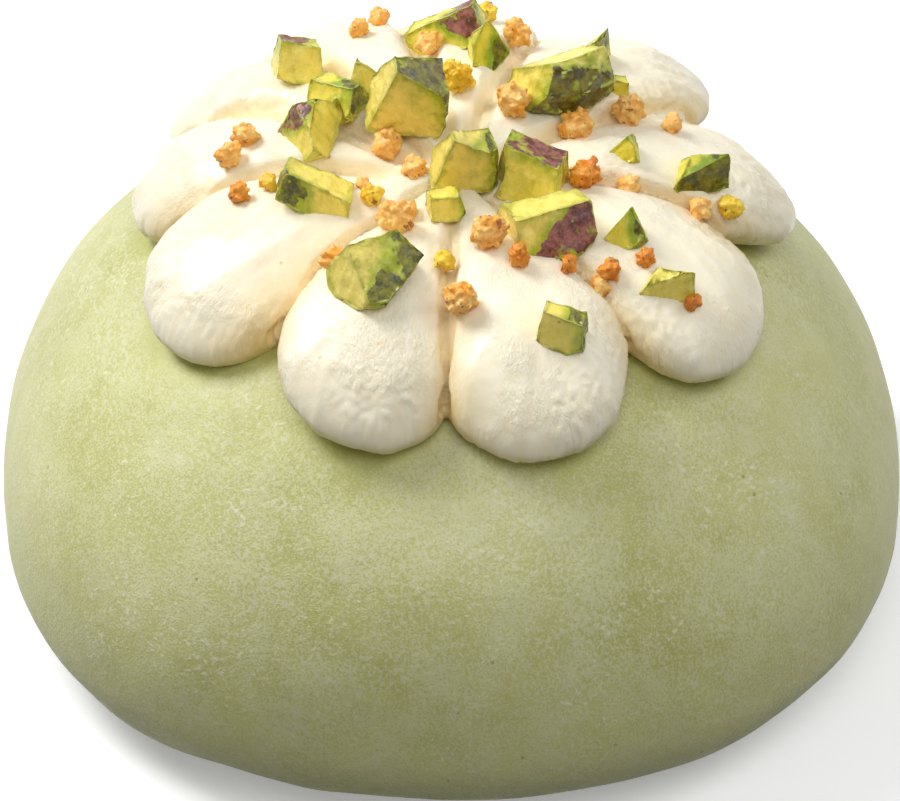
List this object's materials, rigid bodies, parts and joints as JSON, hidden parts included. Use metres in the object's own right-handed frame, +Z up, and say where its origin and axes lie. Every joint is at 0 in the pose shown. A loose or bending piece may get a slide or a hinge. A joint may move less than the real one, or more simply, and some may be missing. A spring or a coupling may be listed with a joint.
{
  "type": "mochi rice cake",
  "caption": "Round green mochi rice cake with a flat base, topped by a piped cream flower and chopped pistachio pieces.",
  "frame": {"origin": "centre of the bounding box at the height of the flat base", "axes": "+Z up from the base to the cream, -Y towards the front of the cake, +X to its right"},
  "size_m": [0.064, 0.064, 0.0426],
  "materials": {
    "rice_dough": "soft, faintly dusted",
    "cream": "moist, softly glossy",
    "pistachio": "cut nut, slightly oily",
    "crumb": "crunchy candied crumb"
  },
  "bodies": {
    "root": {"cream_flower": "cream", "mochi_body": "rice_dough", "nut_back_left": "pistachio", "nut_behind_moon": "pistachio", "nut_bit_back": "pistachio", "nut_capped": "pistachio", "nut_centre": "pistachio", "nut_cracked": "pistachio", "nut_crumb_green": "pistachio", "nut_front": "pistachio", "nut_green_back": "pistachio", "nut_hidden": "pistachio", "nut_leaf": "pistachio", "nut_left": "pistachio", "nut_low": "pistachio", "nut_moon": "pistachio", "nut_peak": "pistachio", "nut_right": "pistachio", "nut_right_low": "pistachio", "nut_small": "pistachio", "nut_tall": "pistachio", "nut_thorn": "pistachio", "nut_top": "pistachio"}
  },
  "joints": []
}
